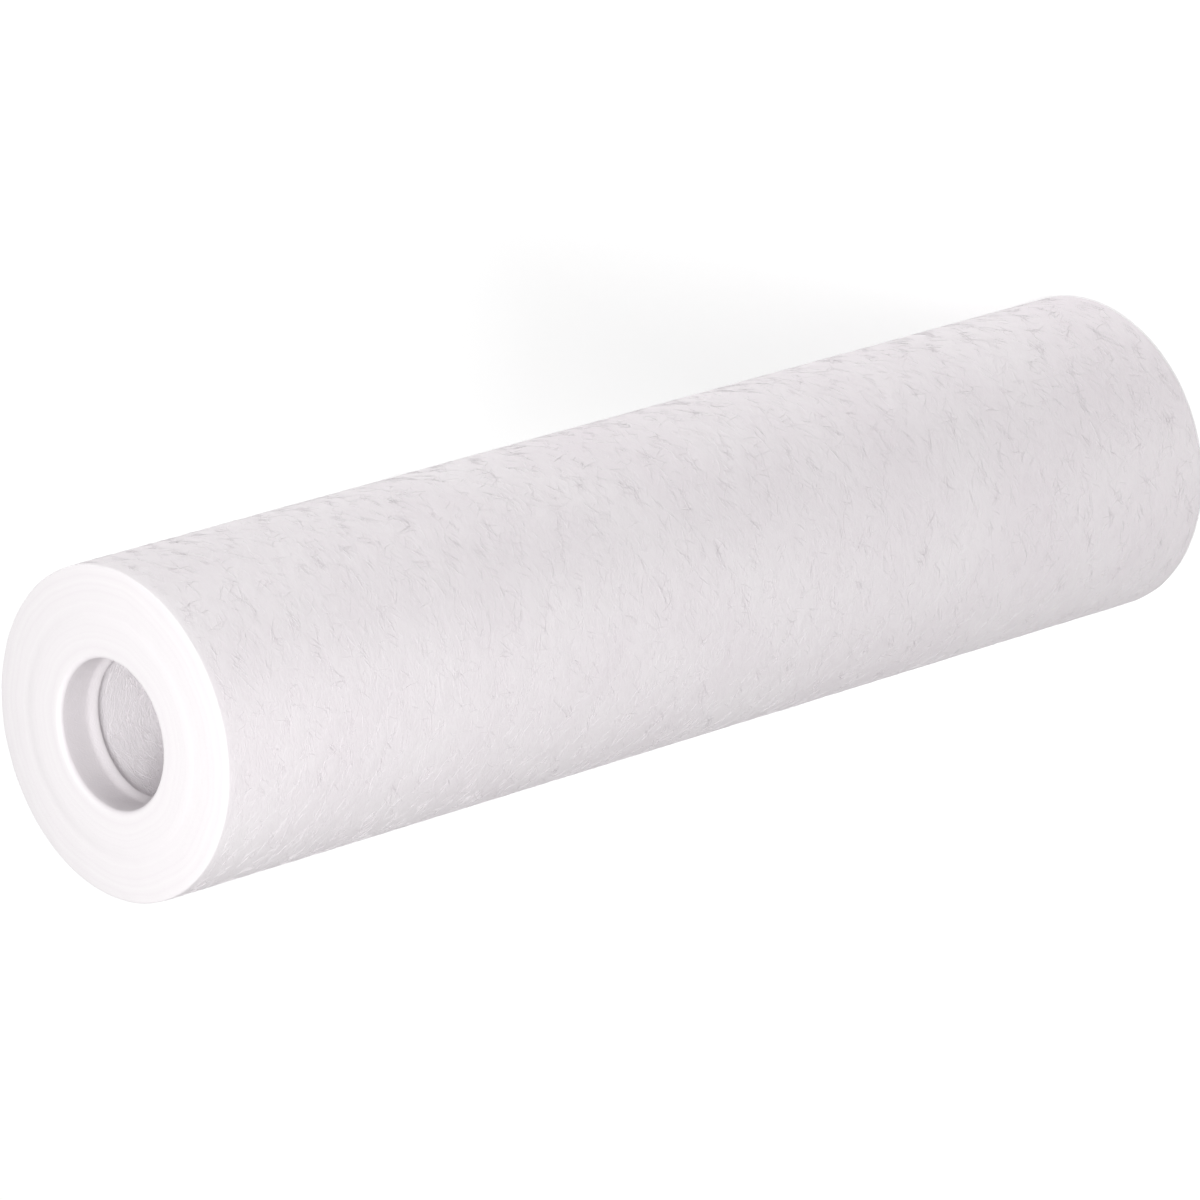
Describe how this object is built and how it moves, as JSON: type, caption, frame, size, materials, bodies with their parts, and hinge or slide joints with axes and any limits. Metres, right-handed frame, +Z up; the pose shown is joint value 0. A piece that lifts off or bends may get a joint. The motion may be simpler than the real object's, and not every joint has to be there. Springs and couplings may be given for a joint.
{
  "type": "sediment filter cartridge",
  "caption": "Straight cylindrical depth filter cartridge of melt-blown fibre, open at both ends, with a pressed seal seat on each end and a bore through its length.",
  "frame": {"origin": "centre of the bottom end, on the bore axis, at the level that the cartridge stands on", "axes": "+Z up along the bore axis, from one open end to the other"},
  "size_m": [0.0622, 0.0622, 0.254],
  "materials": {
    "melt_blown_fibre": "white melt-blown polypropylene fibre, matte and finely fibrous, smoother where the ends were hot pressed"
  },
  "bodies": {
    "root": {"filter_body": "melt_blown_fibre"}
  },
  "joints": []
}
